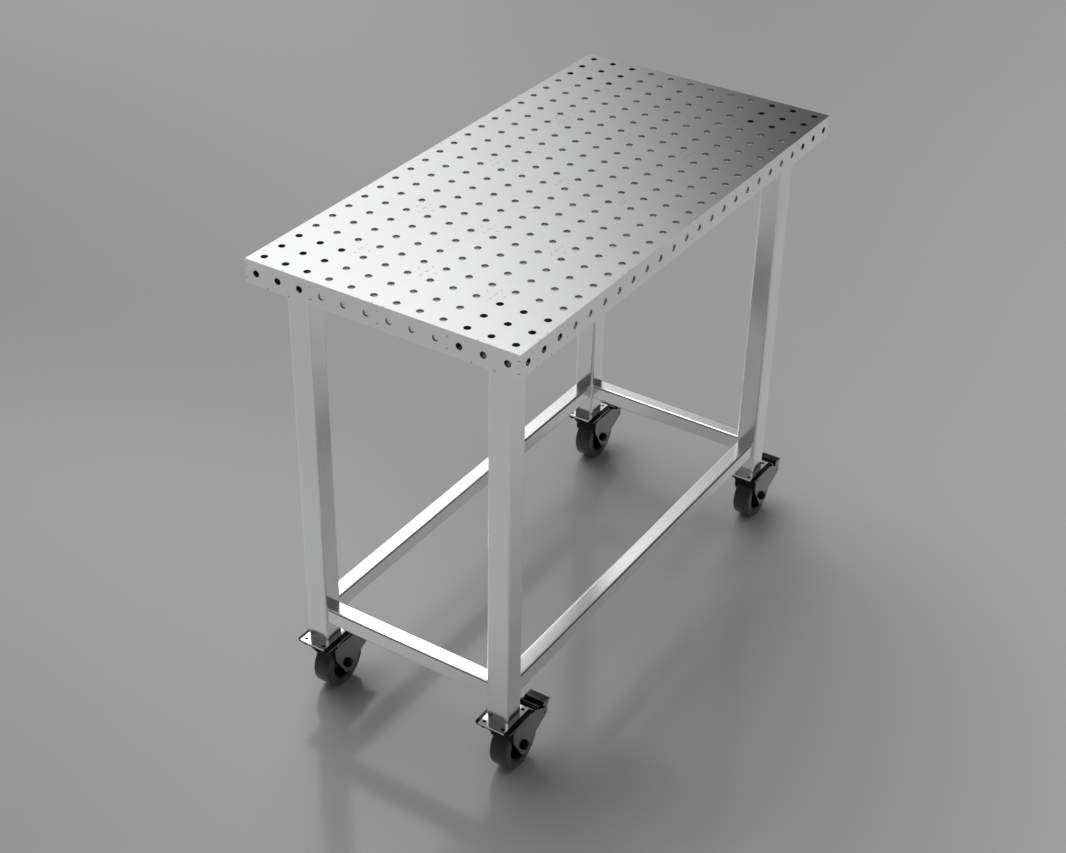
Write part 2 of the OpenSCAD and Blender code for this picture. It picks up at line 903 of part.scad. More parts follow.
module skirt_front() {
    long_skirt(-1);
}

module skirt_back() {
    long_skirt(1);
}

module cross_rib_1() {
    cross_rib(cross_rib_x[0]);
}

module cross_rib_2() {
    cross_rib(cross_rib_x[1]);
}

module cross_rib_3() {
    cross_rib(cross_rib_x[2]);
}

module cross_rib_4() {
    cross_rib(cross_rib_x[3]);
}

module cross_rib_5() {
    cross_rib(cross_rib_x[4]);
}

module long_rib_1() {
    long_rib(long_rib_y[0]);
}

module long_rib_2() {
    long_rib(long_rib_y[1]);
}

module long_rib_3() {
    long_rib(long_rib_y[2]);
}

module corner_plate_front_left() {
    corner_plate(front_left);
}

module corner_plate_front_right() {
    corner_plate(front_right);
}

module corner_plate_back_left() {
    corner_plate(back_left);
}

module corner_plate_back_right() {
    corner_plate(back_right);
}

module leg_front_left() {
    leg(front_left);
}

module leg_front_right() {
    leg(front_right);
}

module leg_back_left() {
    leg(back_left);
}

module leg_back_right() {
    leg(back_right);
}

module rail_front() {
    long_rail(-1);
}

module rail_back() {
    long_rail(1);
}

module rail_left() {
    short_rail(-1);
}

module rail_right() {
    short_rail(1);
}

module foot_plate_front_left() {
    foot_plate(front_left);
}

module foot_plate_front_right() {
    foot_plate(front_right);
}

module foot_plate_back_left() {
    foot_plate(back_left);
}

module foot_plate_back_right() {
    foot_plate(back_right);
}

module caster_bolts() {
    color(zinc)
        for (corner = corners)
            at_swivel(corner)
                at_bolts()
                    caster_bolt();
}

module caster_plate_front_left() {
    caster_plate(front_left);
}

module caster_plate_front_right() {
    caster_plate(front_right);
}

module caster_plate_back_left() {
    caster_plate(back_left);
}

module caster_plate_back_right() {
    caster_plate(back_right);
}

module kingpins() {
    color(zinc)
        for (corner = corners)
            at_swivel(corner)
                kingpin();
}

module swivel_balls() {
    color(bright_steel)
        for (corner = corners)
            at_swivel(corner)
                ball_ring();
}

module fork_front_left() {
    fork(front_left);
}

module fork_front_right() {
    fork(front_right);
}

module fork_back_left() {
    fork(back_left);
}

module fork_back_right() {
    fork(back_right);
}

module fork_pins_front_left() {
    fork_pins(front_left);
}

module fork_pins_front_right() {
    fork_pins(front_right);
}

module fork_pins_back_left() {
    fork_pins(back_left);
}

module fork_pins_back_right() {
    fork_pins(back_right);
}

module sleeve_front_left() {
    sleeve(front_left);
}

module sleeve_front_right() {
    sleeve(front_right);
}

module sleeve_back_left() {
    sleeve(back_left);
}

module sleeve_back_right() {
    sleeve(back_right);
}

module hub_front_left() {
    hub(front_left);
}

module hub_front_right() {
    hub(front_right);
}

module hub_back_left() {
    hub(back_left);
}

module hub_back_right() {
    hub(back_right);
}

module tyre_front_left() {
    tyre(front_left);
}

module tyre_front_right() {
    tyre(front_right);
}

module tyre_back_left() {
    tyre(back_left);
}

module tyre_back_right() {
    tyre(back_right);
}

module pedal_front_left() {
    pedal(front_left);
}

module pedal_front_right() {
    pedal(front_right);
}

module pedal_back_left() {
    pedal(back_left);
}

module pedal_back_right() {
    pedal(back_right);
}

top_plate();
skirt_left();
skirt_right();
skirt_front();
skirt_back();
cross_rib_1();
cross_rib_2();
cross_rib_3();
cross_rib_4();
cross_rib_5();
long_rib_1();
long_rib_2();
long_rib_3();
corner_plate_front_left();
corner_plate_front_right();
corner_plate_back_left();
corner_plate_back_right();
leg_front_left();
leg_front_right();
leg_back_left();
leg_back_right();
rail_front();
rail_back();
rail_left();
rail_right();
foot_plate_front_left();
foot_plate_front_right();
foot_plate_back_left();
foot_plate_back_right();
caster_bolts();
caster_plate_front_left();
caster_plate_front_right();
caster_plate_back_left();
caster_plate_back_right();
kingpins();
swivel_balls();
fork_front_left();
fork_front_right();
fork_back_left();
fork_back_right();
fork_pins_front_left();
fork_pins_front_right();
fork_pins_back_left();
fork_pins_back_right();
sleeve_front_left();
sleeve_front_right();
sleeve_back_left();
sleeve_back_right();
hub_front_left();
hub_front_right();
hub_back_left();
hub_back_right();
tyre_front_left();
tyre_front_right();
tyre_back_left();
tyre_back_right();
pedal_front_left();
pedal_front_right();
pedal_back_left();
pedal_back_right();
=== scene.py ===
"""Looks of a welding fixture table: a slotted steel top box on four legs with braked swivel casters."""

import logging
import math
from dataclasses import dataclass
from enum import Enum
from typing import Any, Callable, Iterable, Sequence

import bmesh
import bpy
from mathutils import Matrix, Vector


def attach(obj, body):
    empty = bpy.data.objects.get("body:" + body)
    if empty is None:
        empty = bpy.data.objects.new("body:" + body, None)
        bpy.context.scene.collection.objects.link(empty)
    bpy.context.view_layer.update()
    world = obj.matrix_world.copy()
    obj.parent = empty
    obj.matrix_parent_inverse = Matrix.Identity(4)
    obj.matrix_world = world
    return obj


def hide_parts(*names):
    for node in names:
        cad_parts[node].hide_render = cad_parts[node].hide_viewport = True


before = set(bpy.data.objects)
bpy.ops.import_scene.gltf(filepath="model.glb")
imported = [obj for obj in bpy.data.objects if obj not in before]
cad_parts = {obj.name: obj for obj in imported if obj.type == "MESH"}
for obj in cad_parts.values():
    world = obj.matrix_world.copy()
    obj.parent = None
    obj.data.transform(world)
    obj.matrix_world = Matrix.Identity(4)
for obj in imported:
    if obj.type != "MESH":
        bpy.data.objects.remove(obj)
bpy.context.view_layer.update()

log = logging.getLogger("fixture_table")

Colour = tuple[float, float, float]
MM = 0.001
MERGE_DISTANCE = 2e-6
SAME_POINT = 1e-7
FLAT_ANGLE = 0.6
LEG_PLACE = (533.4 * MM, 228.6 * MM)


class Wire:
    """A value in a node tree. Its operators add Math nodes."""

    def __init__(self, tree: "Tree", socket: bpy.types.NodeSocket) -> None:
        """Wraps one output socket.

        Args:
            tree: The node tree that the socket is in.
            socket: The output socket.
        """
        self.tree = tree
        self.socket = socket

    def maths(self, operation: str, *values: Any, clamp: bool = False) -> "Wire":
        """Adds one Math node.

        Args:
            operation: The Math node's operation.
            values: Its inputs in order, wires or numbers.
            clamp: Whether the result stays between 0 and 1.

        Returns:
            The node's result.
        """
        settings = {"operation": operation, "use_clamp": clamp}
        return self.tree.node("ShaderNodeMath", settings, dict(enumerate(values)))

    def out(self, name: str | int) -> "Wire":
        """Another output of the same node."""
        return Wire(self.tree, self.socket.node.outputs[name])

    def between(self, low: float, high: float, start: float = 0.0, end: float = 1.0) -> "Wire":
        """Maps the range from low to high smoothly to the range from start to end.

        Args:
            low: Value that becomes start.
            high: Value that becomes end.
            start: First end of the new range.
            end: Second end of the new range.

        Returns:
            The mapped value.
        """
        values = {"Value": self, "From Min": low, "From Max": high, "To Min": start, "To Max": end}
        return self.tree.node("ShaderNodeMapRange", {"interpolation_type": "SMOOTHSTEP"}, values)

    def clamp(self, low: float, high: float) -> "Wire":
        """The value kept between low and high.

        Args:
            low: The least value.
            high: The greatest value.

        Returns:
            The value, kept in the range.
        """
        least = self.maths("MAXIMUM", self, low)
        return least.maths("MINIMUM", least, high)

    def __add__(self, other: Any) -> "Wire":
        """The sum."""
        return self.maths("ADD", self, other)

    def __radd__(self, other: Any) -> "Wire":
        """The sum."""
        return self.maths("ADD", other, self)

    def __sub__(self, other: Any) -> "Wire":
        """The difference."""
        return self.maths("SUBTRACT", self, other)

    def __rsub__(self, other: Any) -> "Wire":
        """The difference."""
        return self.maths("SUBTRACT", other, self)

    def __mul__(self, other: Any) -> "Wire":
        """The product."""
        return self.maths("MULTIPLY", self, other)

    def __rmul__(self, other: Any) -> "Wire":
        """The product."""
        return self.maths("MULTIPLY", other, self)

    def __truediv__(self, other: Any) -> "Wire":
        """The quotient."""
        return self.maths("DIVIDE", self, other)

    def __rtruediv__(self, other: Any) -> "Wire":
        """The quotient."""
        return self.maths("DIVIDE", other, self)

    def __pow__(self, other: Any) -> "Wire":
        """The power."""
        return self.maths("POWER", self, other)


class Tree:
    """A material's or the world's node tree, filled one node at a time."""

    def __init__(self, nodes: bpy.types.NodeTree) -> None:
        """Empties the tree.

        Args:
            nodes: The node tree to fill.
        """
        nodes.nodes.clear()
        self.nodes = nodes

    def node(
        self,
        kind: str,
        settings: dict[str, Any] | None = None,
        values: dict[str | int, Any] | None = None,
        output: str | int = 0,
    ) -> Wire:
        """Adds a node.

        Args:
            kind: The node's type.
            settings: Its properties.
            values: What goes into its sockets, wires or plain values.
            output: The output to return.

        Returns:
            That output.
        """
        made = self.nodes.nodes.new(kind)
        for name, value in (settings or {}).items():
            setattr(made, name, value)
        for name, value in (values or {}).items():
            if isinstance(value, Wire):
                self.nodes.links.new(value.socket, made.inputs[name])
            else:
                made.inputs[name].default_value = value
        return Wire(self, made.outputs[output] if made.outputs else made.inputs[0])

    def place(self, shift: Sequence[float] = (0, 0, 0)) -> Wire:
        """Object coordinates, shifted.

        Args:
            shift: Shift along x, y and z, in metres.

        Returns:
            The coordinates.
        """
        coordinates = self.node("ShaderNodeTexCoord", output="Object")
        return self.node("ShaderNodeMapping", values={"Vector": coordinates, "Location": shift})

    def noise(self, where: Wire, scale: float, detail: float = 2.0, roughness: float = 0.5) -> Wire:
        """Noise from 0 to 1.

        Args:
            where: The coordinates.
            scale: Features per metre.
            detail: Number of finer layers.
            roughness: Strength of the finer layers.

        Returns:
            The noise.
        """
        values = {"Vector": where, "Scale": scale, "Detail": detail, "Roughness": roughness}
        return self.node("ShaderNodeTexNoise", values=values)

    def mix(self, share: Wire | float, first: Colour | Wire, second: Colour | Wire) -> Wire:
        """Mixes two colours.

        Args:
            share: Share of the second colour.
            first: The colour where the share is 0.
            second: The colour where the share is 1.

        Returns:
            The colour.
        """
        colours = [(*c, 1.0) if isinstance(c, tuple) else c for c in (first, second)]
        values = {"Factor": share, 6: colours[0], 7: colours[1]}
        return self.node("ShaderNodeMix", {"data_type": "RGBA"}, values, output=2)

    def bump(self, height: Wire, distance: float, strength: float = 1.0, under: Wire | None = None) -> Wire:
        """A bumped normal.

        Args:
            height: The height, from 0 to 1.
            distance: How far a height of 1 stands out, in metres.
            strength: How much of the bump is used.
            under: A normal that is already bumped.

        Returns:
            The normal.
        """
        values: dict[str | int, Any] = {"Height": height, "Distance": distance, "Strength": strength}
        if under is not None:
            values["Normal"] = under
        return self.node("ShaderNodeBump", values=values)

    def surface(self, values: dict[str | int, Any]) -> None:
        """Makes the surface of a material.

        Args:
            values: What goes into the shader's sockets.
        """
        shader = self.node("ShaderNodeBsdfPrincipled", values=values)
        self.node("ShaderNodeOutputMaterial", values={"Surface": shader})


@dataclass(frozen=True)
class Finish:
    """A finish, made into a material the first time that it is used."""

    name: str

    def material(self) -> bpy.types.Material:
        """The finish's material."""
        if self not in MADE:
            MADE[self] = bpy.data.materials.new(f"finish_{self.name}")
            MADE[self].use_nodes = True
            self.paint(Tree(MADE[self].node_tree))
        return MADE[self]

    def paint(self, tree: Tree) -> None:
        """Fills the material's nodes.

        Args:
            tree: The material's node tree.
        """
        raise NotImplementedError


@dataclass(frozen=True)
class Steel(Finish):
    """Bare steel, ground to an even satin shine."""

    colour: Colour = (0.76, 0.765, 0.77)
    stain: Colour = (0.72, 0.72, 0.72)
    roughness: float = 0.14
    relief: float = 0.000003

    def paint(self, tree: Tree) -> None:
        """Fills the material's nodes.

        Args:
            tree: The material's node tree.
        """
        where = tree.place()
        clouds = tree.noise(where, 4.0, 3.0)
        grain = tree.noise(where, 900.0, 3.0, 0.6)
        marks = tree.noise(tree.place(shift=(3, 1, 2)), 30.0, 4.0, 0.6).between(0.6, 0.8)
        colour = tree.mix(clouds.between(0.35, 0.7) * 0.6 + marks * 0.3, self.colour, self.stain)
        rough = self.roughness + (clouds - 0.5) * 0.03 + (grain - 0.5) * 0.04 + marks * 0.02
        normal = tree.bump(grain, self.relief)
        tree.surface({"Base Color": colour, "Metallic": 1.0, "Roughness": rough, "Normal": normal})


@dataclass(frozen=True)
class CutEdge(Finish):
    """Steel where the laser cut it, finely striped across the sheet, with oxide blotches, and darker in tone
    as painted shade in the holes.
    """

    # Dark tone of the walls: painted shade in the holes and slots.
    colour: Colour = (0.3, 0.3, 0.3)
    oxide: Colour = (0.16, 0.155, 0.15)
    roughness: float = 0.34
    stripes: float = 2600.0

    def paint(self, tree: Tree) -> None:
        """Fills the material's nodes.

        Args:
            tree: The material's node tree.
        """
        where = tree.place()
        clouds = tree.noise(where, 120.0, 3.0)
        stripes = tree.noise(where, self.stripes, 2.0)
        colour = tree.mix(clouds.between(0.35, 0.7) * 0.7 + (stripes - 0.5) * 0.3, self.colour, self.oxide)
        rough = self.roughness + (stripes - 0.5) * 0.1
        normal = tree.bump(stripes, 0.00001)
        tree.surface({"Base Color": colour, "Metallic": 1.0, "Roughness": rough, "Normal": normal})


@dataclass(frozen=True)
class Plating(Finish):
    """Metal plating on the casters' parts."""

    colour: Colour = (0.62, 0.63, 0.64)
    tint: Colour = (0.66, 0.62, 0.52)
    roughness: float = 0.32
    peel: float = 0.00001

    def paint(self, tree: Tree) -> None:
        """Fills the material's nodes.

        Args:
            tree: The material's node tree.
        """
        where = tree.place()
        clouds = tree.noise(where, 60.0, 3.0)
        speckle = tree.noise(where, 1800.0, 2.0)
        colour = tree.mix(clouds.between(0.4, 0.7) * 0.6 + (speckle - 0.5) * 0.1, self.colour, self.tint)
        rough = self.roughness + (clouds - 0.5) * 0.08
        normal = tree.bump(speckle, self.peel)
        tree.surface({"Base Color": colour, "Metallic": 1.0, "Roughness": rough, "Normal": normal})


@dataclass(frozen=True)
class Gloss(Finish):
    """Glossy black: on the faces of the casters' plate, fork and pedal that are not plated, a darker copy of
    the plating as painted shade; also the black of their bolts, nuts and ribs.
    """

    colour: Colour = (0.004, 0.004, 0.0042)
    dust: Colour = (0.01, 0.01, 0.01)
    roughness: float = 0.14
    peel: float = 0.000002
    shine: float = 0.12

    def paint(self, tree: Tree) -> None:
        """Fills the material's nodes.

        Args:
            tree: The material's node tree.
        """
        where = tree.place()
        clouds = tree.noise(where, 60.0, 3.0)
        peel = tree.noise(where, 700.0, 2.0)
        colour = tree.mix(clouds.between(0.45, 0.8) * 0.4, self.colour, self.dust)
        rough = self.roughness + (clouds - 0.5) * 0.06
        normal = tree.bump(peel, self.peel)
        values = {"Base Color": colour, "Roughness": rough, "Normal": normal}
        tree.surface({**values, "Specular IOR Level": self.shine})


@dataclass(frozen=True)
class Polymer(Finish):
    """Moulded plastic or rubber with a fine texture."""

    colour: Colour = (0.03, 0.03, 0.031)
    dust: Colour = (0.06, 0.06, 0.06)
    roughness: float = 0.4
    texture: float = 0.00002

    def paint(self, tree: Tree) -> None:
        """Fills the material's nodes.

        Args:
            tree: The material's node tree.
        """
        where = tree.place()
        clouds = tree.noise(where, 50.0, 3.0)
        pores = tree.noise(where, 1500.0, 3.0)
        colour = tree.mix(clouds.between(0.4, 0.8) * 0.3 + (pores - 0.5) * 0.1, self.colour, self.dust)
        rough = self.roughness + (clouds - 0.5) * 0.1
        normal = tree.bump(pores, self.texture)
        tree.surface({"Base Color": colour, "Roughness": rough, "Normal": normal})


@dataclass(frozen=True)
class Floor(Finish):
    """Smooth grey floor with painted shade and light: darker to the left of the camera's view and lighter to
    the right, against the lamps' reflection; and lighter in reflections than to the camera.
    """

    grey: float = 0.285
    # Painted shade and light across the view: change of the floor grey per unit of sideways tangent.
    painted_shade_slope: float = 0.2
    grey_in_metal: float = 0.47
    roughness: float = 0.14
    shine: float = 0.18
    middle: tuple[float, float] = (-2.8252, -1.7407)
    ahead: tuple[float, float] = (0.844, 0.536)

    def paint(self, tree: Tree) -> None:
        """Fills the material's nodes.

        Args:
            tree: The material's node tree.
        """
        where = tree.place()
        clouds = tree.noise(where, 1.3, 3.0)
        parts = tree.node("ShaderNodeSeparateXYZ", values={"Vector": where})
        x, y = parts - self.middle[0], parts.out("Y") - self.middle[1]
        ahead = (x * self.ahead[0] + y * self.ahead[1]).clamp(0.5, 100.0)
        across = (x * self.ahead[1] - y * self.ahead[0]) / ahead
        # Painted shade and light: the grey gets darker to the left of the camera's view and lighter to the
        # right, to cancel the lamps' reflection.
        grey = (self.grey + across * self.painted_shade_slope).clamp(0.19, 0.37) + (clouds - 0.5) * 0.006
        seen = tree.node("ShaderNodeLightPath", output="Is Glossy Ray")
        level = grey + seen * (self.grey_in_metal - grey)
        colour = tree.node("ShaderNodeCombineColor", values={"Red": level, "Green": level, "Blue": level})
        rough = self.roughness + (clouds - 0.5) * 0.02
        tree.surface({"Base Color": colour, "Roughness": rough, "Specular IOR Level": self.shine})


class Axis(Enum):
    """Axis that a shape turns about or runs along."""

    X = (1.0, 0.0, 0.0)
    Y = (0.0, 1.0, 0.0)
    Z = (0.0, 0.0, 1.0)

    def stand(self) -> Matrix:
        """Turns z to this axis."""
        return Vector((0, 0, 1)).rotation_difference(Vector(self.value)).to_matrix().to_4x4()


class Shape:
    """A mesh in the making, shaped by bmesh operators."""

    def __init__(self) -> None:
        """Starts with nothing."""
        self.mesh = bmesh.new()

    @classmethod
    def copied(cls, name: str, simpler: bool = True) -> "Shape":
        """A CAD node's form with its corners merged.

        Args:
            name: The node's name.
            simpler: Whether its flats become single faces.

        Returns:
            The shape.
        """
        shape = cls()
        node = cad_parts[name]
        shape.mesh.from_mesh(node.data)
        shape.mesh.transform(node.matrix_world)
        bmesh.ops.remove_doubles(shape.mesh, verts=shape.mesh.verts, dist=MERGE_DISTANCE)
        if simpler:
            limit = math.radians(FLAT_ANGLE)
            verts, edges = shape.mesh.verts, shape.mesh.edges
            bmesh.ops.dissolve_limit(shape.mesh, angle_limit=limit, verts=verts, edges=edges)
        return shape

    def softened(self, width: float, segments: int = 2, angle: float = 35) -> "Shape":
        """Rounds all sharp edges.

        Args:
            width: Width of the rounding.
            segments: Faces across the rounding.
            angle: Edges sharper than this are rounded, in degrees.

        Returns:
            The shape.
        """
        self._soften(self.mesh.verts, width, segments, angle)
        return self

    def _fresh_edges(self, verts: Iterable[bmesh.types.BMVert], angle: float) -> list[bmesh.types.BMEdge]:
        """Edges between the given corners that are sharper than an angle.

        Args:
            verts: The corners.
            angle: The angle, in degrees.

        Returns:
            The edges.
        """
        self.mesh.normal_update()
        edges = {edge for vert in verts for edge in vert.link_edges}
        limit = math.radians(angle)
        return [e for e in edges if len(e.link_faces) == 2 and e.calc_face_angle() > limit]

    def _soften(
        self, verts: Iterable[bmesh.types.BMVert], width: float, segments: int, angle: float = 35
    ) -> None:
        """Rounds the sharp edges between the given corners.

        Args:
            verts: The corners.
            width: Width of the rounding.
            segments: Faces across the rounding.
            angle: Edges sharper than this are rounded, in degrees.
        """
        edges = self._fresh_edges(verts, angle)
        bmesh.ops.bevel(
            self.mesh,
            geom=edges,
            offset=width,
            offset_type="OFFSET",
            segments=segments,
            profile=0.5,
            affect="EDGES",
            clamp_overlap=True,
            material=-1,
        )

    def block(
        self, size: Sequence[float], centre: Sequence[float], width: float = 0.0, segments: int = 2
    ) -> "Shape":
        """Adds a block with rounded edges.

        Args:
            size: Its length along x, y and z.
            centre: Its middle.
            width: Width of the rounding.
            segments: Faces across the rounding.

        Returns:
            The shape.
        """
        place = Matrix.LocRotScale(Vector(centre), None, Vector(size))
        verts = bmesh.ops.create_cube(self.mesh, size=1.0, matrix=place)["verts"]
        if width:
            self._soften(verts, width, segments)
        return self

    def nut(self, radius: float, height: float, start: Vector, side: int) -> "Shape":
        """Adds a hexagon along y with its outer corners turned off.

        Args:
            radius: Distance from the axis to the corners.
            height: Its height.
            start: Middle of its inner face.
            side: 1 if it reaches towards +y, -1 if towards -y.

        Returns:
            The shape.
        """
        sides, corner_cut = 6, 0.18
        place = Matrix.Translation(start + Vector((0, side * height / 2, 0))) @ Axis.Y.stand()
        made = bmesh.ops.create_cone(
            self.mesh,
            cap_ends=True,
            segments=sides,
            radius1=radius,
            radius2=radius,
            depth=height,
            matrix=place,
        )
        outer = [v for v in made["verts"] if (v.co.y - start.y) * side > height / 2]
        bmesh.ops.bevel(
            self.mesh,
            geom=outer,
            offset=corner_cut * radius,
            offset_type="OFFSET",
            segments=1,
            profile=0.5,
            affect="VERTICES",
            material=-1,
        )
        return self

    def turned(
        self,
        outline: Sequence[tuple[float, float]],
        centre: Sequence[float],
        axis: Axis,
        steps: int = 48,
        closed: bool = False,
    ) -> "Shape":
        """Adds a shape turned round an axis.

        Args:
            outline: Pairs of a radius and a distance along the axis.
            centre: Point on the axis that the distances start from.
            axis: The axis.
            steps: Number of steps round.
            closed: Whether the outline's ends are joined, as for a ring.

        Returns:
            The shape.
        """
        place = Matrix.Translation(Vector(centre)) @ axis.stand()
        verts = [self.mesh.verts.new(place @ Vector((radius, 0, along))) for radius, along in outline]
        pairs = list(zip(verts, verts[1:])) + ([(verts[-1], verts[0])] if closed else [])
        edges = [self.mesh.edges.new(pair) for pair in pairs]
        before = set(self.mesh.faces)
        bmesh.ops.spin(
            self.mesh,
            geom=verts + edges,
            cent=centre,
            axis=Vector(axis.value),
            angle=2 * math.pi,
            steps=steps,
            use_merge=True,
            use_duplicate=False,
        )
        faces = [face for face in self.mesh.faces if face not in before]
        around = list({vert for face in faces for vert in face.verts})
        bmesh.ops.remove_doubles(self.mesh, verts=around, dist=SAME_POINT)
        faces = [face for face in self.mesh.faces if face not in before]
        bmesh.ops.recalc_face_normals(self.mesh, faces=faces)
        return self

    def coated(self, index: int, chosen: Callable[[bmesh.types.BMFace], bool]) -> "Shape":
        """Gives some faces another finish.

        Args:
            index: Number of the finish.
            chosen: Says whether a face gets it.

        Returns:
            The shape.
        """
        for face in self.mesh.faces:
            if chosen(face):
                face.material_index = index
        return self

    def corner_normals(self) -> list[Vector]:
        """Normals at the corners in which big faces count most, so that rounded edges leave flats flat."""
        totals = [Vector() for _ in self.mesh.verts]
        for face in self.mesh.faces:
            area = face.calc_area()
            for vert in face.verts:
                totals[vert.index] += face.normal * area
        return [total.normalized() for total in totals]

    def piece(
        self,
        name: str,
        body: str,
        finish: Finish,
        smooth: float = 40.0,
        weighted: bool = False,
        others: Sequence[Finish] = (),
    ) -> bpy.types.Object:
        """Makes the shape a piece of the table.

        Args:
            name: The piece's name.
            body: The CAD body that it rides on.
            finish: Its finish.
            smooth: Edges flatter than this are shaded smooth, in degrees.
            weighted: Whether flats stay flat beside their rounded edges.
            others: Finishes of the faces that were given a number.

        Returns:
            The piece.
        """
        data = bpy.data.meshes.new(name)
        self.mesh.normal_update()
        limit = math.radians(smooth)
        for face in self.mesh.faces:
            face.smooth = True
        for edge in self.mesh.edges:
            edge.smooth = len(edge.link_faces) == 2 and edge.calc_face_angle() < limit
        self.mesh.verts.index_update()
        normals = self.corner_normals() if weighted else []
        self.mesh.to_mesh(data)
        self.mesh.free()
        if "custom_normal" in data.attributes:
            data.attributes.remove(data.attributes["custom_normal"])
        if weighted:
            data.normals_split_custom_set_from_vertices(normals)
        for used in (finish, *others):
            data.materials.append(used.material())
        made = bpy.data.objects.new(name, data)
        bpy.context.scene.collection.objects.link(made)
        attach(made, body)
        log.info("%s: %d faces on %s", name, len(data.polygons), body)
        return made


MADE: dict[Finish, bpy.types.Material] = {}


@dataclass(frozen=True)
class Glow:
    """A big soft lamp, as a round bright place in the sky."""

    azimuth: float
    elevation: float
    inside: float
    outside: float
    light: float

    def strength(self, tree: Tree, ray: Wire) -> Wire:
        """How bright the sky is where a ray meets it.

        Args:
            tree: The world's node tree.
            ray: The ray's direction.

        Returns:
            The brightness.
        """
        azimuth, elevation = math.radians(self.azimuth), math.radians(self.elevation)
        flat = math.cos(elevation)
        towards = (flat * math.cos(azimuth), flat * math.sin(azimuth), math.sin(elevation))
        dot = tree.node("ShaderNodeVectorMath", {"operation": "DOT_PRODUCT"}, {0: ray, 1: towards}, "Value")
        edge = (math.cos(math.radians(self.outside)), math.cos(math.radians(self.inside)))
        return dot.between(*edge) * self.light


@dataclass
class Studio:
    """Camera, floor and light."""

    eye: tuple[float, float, float] = (-2.8252, -1.7407, 1.6009)
    facing: tuple[float, float, float] = (0.70423, 0.44736, -0.55130)
    roll: float = 1.162
    lens: float = 61.42
    floor_z: float = -1.0668
    floor_radius: float = 40.0
    glows: tuple[Glow, ...] = (
        Glow(75.0, 35.0, 30.0, 46.5, 1.08),
        Glow(60.0, 55.0, 21.0, 27.0, 3.0),
        Glow(232.0, 45.0, 25.0, 50.0, 0.4),
        Glow(0.0, 90.0, 18.0, 30.0, 1.1),
    )
    room_light: float = 0.085
    background: float = 0.31

    def build(self) -> None:
        """Makes the camera, the floor and the light."""
        self.make_camera()
        self.make_floor()
        self.make_light()
        bpy.context.scene.view_settings.view_transform = "Standard"

    def make_camera(self) -> None:
        """Makes the camera at the photo's viewpoint."""
        data = bpy.data.cameras.new("camera")
        data.lens = self.lens
        camera = bpy.data.objects.new("camera", data)
        turn = Vector(self.facing).to_track_quat("-Z", "Y").to_matrix().to_4x4()
        roll = Matrix.Rotation(math.radians(self.roll), 4, "Z")
        camera.matrix_world = Matrix.Translation(self.eye) @ turn @ roll
        bpy.context.scene.collection.objects.link(camera)
        bpy.context.scene.camera = camera

    def make_floor(self) -> None:
        """Lays the floor under the casters."""
        mesh = bmesh.new()
        middle = Matrix.Translation((0, 0, self.floor_z))
        bmesh.ops.create_circle(mesh, cap_ends=True, radius=self.floor_radius, segments=96, matrix=middle)
        data = bpy.data.meshes.new("floor")
        mesh.to_mesh(data)
        mesh.free()
        floor = bpy.data.objects.new("floor", data)
        data.materials.append(Floor("floor_grey").material())
        bpy.context.scene.collection.objects.link(floor)

    def make_light(self) -> None:
        """Lights the scene with soft lamps in a dim room."""
        world = bpy.data.worlds.new("studio")
        bpy.context.scene.world = world
        world.use_nodes = True
        tree = Tree(world.node_tree)
        ray = tree.node("ShaderNodeTexCoord", output="Generated")
        light = sum((glow.strength(tree, ray) for glow in self.glows), start=self.room_light)
        path = tree.node("ShaderNodeLightPath", output="Is Camera Ray")
        strength = light * (1 - path) + path * self.background
        shader = tree.node("ShaderNodeBackground", values={"Color": (1, 1, 1, 1), "Strength": strength})
        tree.node("ShaderNodeOutputWorld", values={"Surface": shader})


@dataclass
class TopBox:
    """The table top's sheets, whose holes have darker cut edges: striped and blotched by the cut, and darker
    as painted shade.
    """

    half_length: float = 609.6 * MM
    half_width: float = 304.8 * MM
    border: float = 5.5 * MM
    pitch: float = 50.8 * MM
    faces: Finish = Steel("ground_steel")
    cut_walls_and_painted_shade: Finish = CutEdge("cut_edge_painted_shade")

    def build(self) -> None:
        """Makes the sheets that show their holes."""
        self.make_sheet("top_plate", Axis.Z)
        self.make_sheet("skirt_front", Axis.Y)
        self.make_sheet("skirt_back", Axis.Y)
        self.make_sheet("skirt_left", Axis.X)
        self.make_sheet("skirt_right", Axis.X)

    def make_sheet(self, node: str, across: Axis) -> None:
        """Makes one sheet.

        Args:
            node: The CAD node that it replaces.
            across: The axis that the sheet is thin along.
        """
        direction = Vector(across.value)
        reach = (self.half_length - self.border, self.half_width - self.border)

        def is_cut(face: bmesh.types.BMFace) -> bool:
            """Whether a face is inside one of the plate's holes, or a hole or slot of a skirt."""
            if abs(face.normal.dot(direction)) > 0.7:
                return False
            x, y, z = face.calc_center_median()
            if across is Axis.Z:
                aside = (x % self.pitch - self.pitch / 2, y % self.pitch - self.pitch / 2)
                return math.hypot(*aside) < self.pitch / 4
            inside = [across is Axis.X or abs(x) < reach[0], across is Axis.Y or abs(y) < reach[1]]
            return all(inside) and z < -self.border

        # The hole and slot walls get the darker cut-edge finish, whose dark tone is painted shade inside the
        # holes.
        shape = Shape.copied(node, simpler=False).coated(1, is_cut)
        piece = shape.piece(f"{node}_cut", "table", self.faces, others=[self.cut_walls_and_painted_shade])
        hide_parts(node)


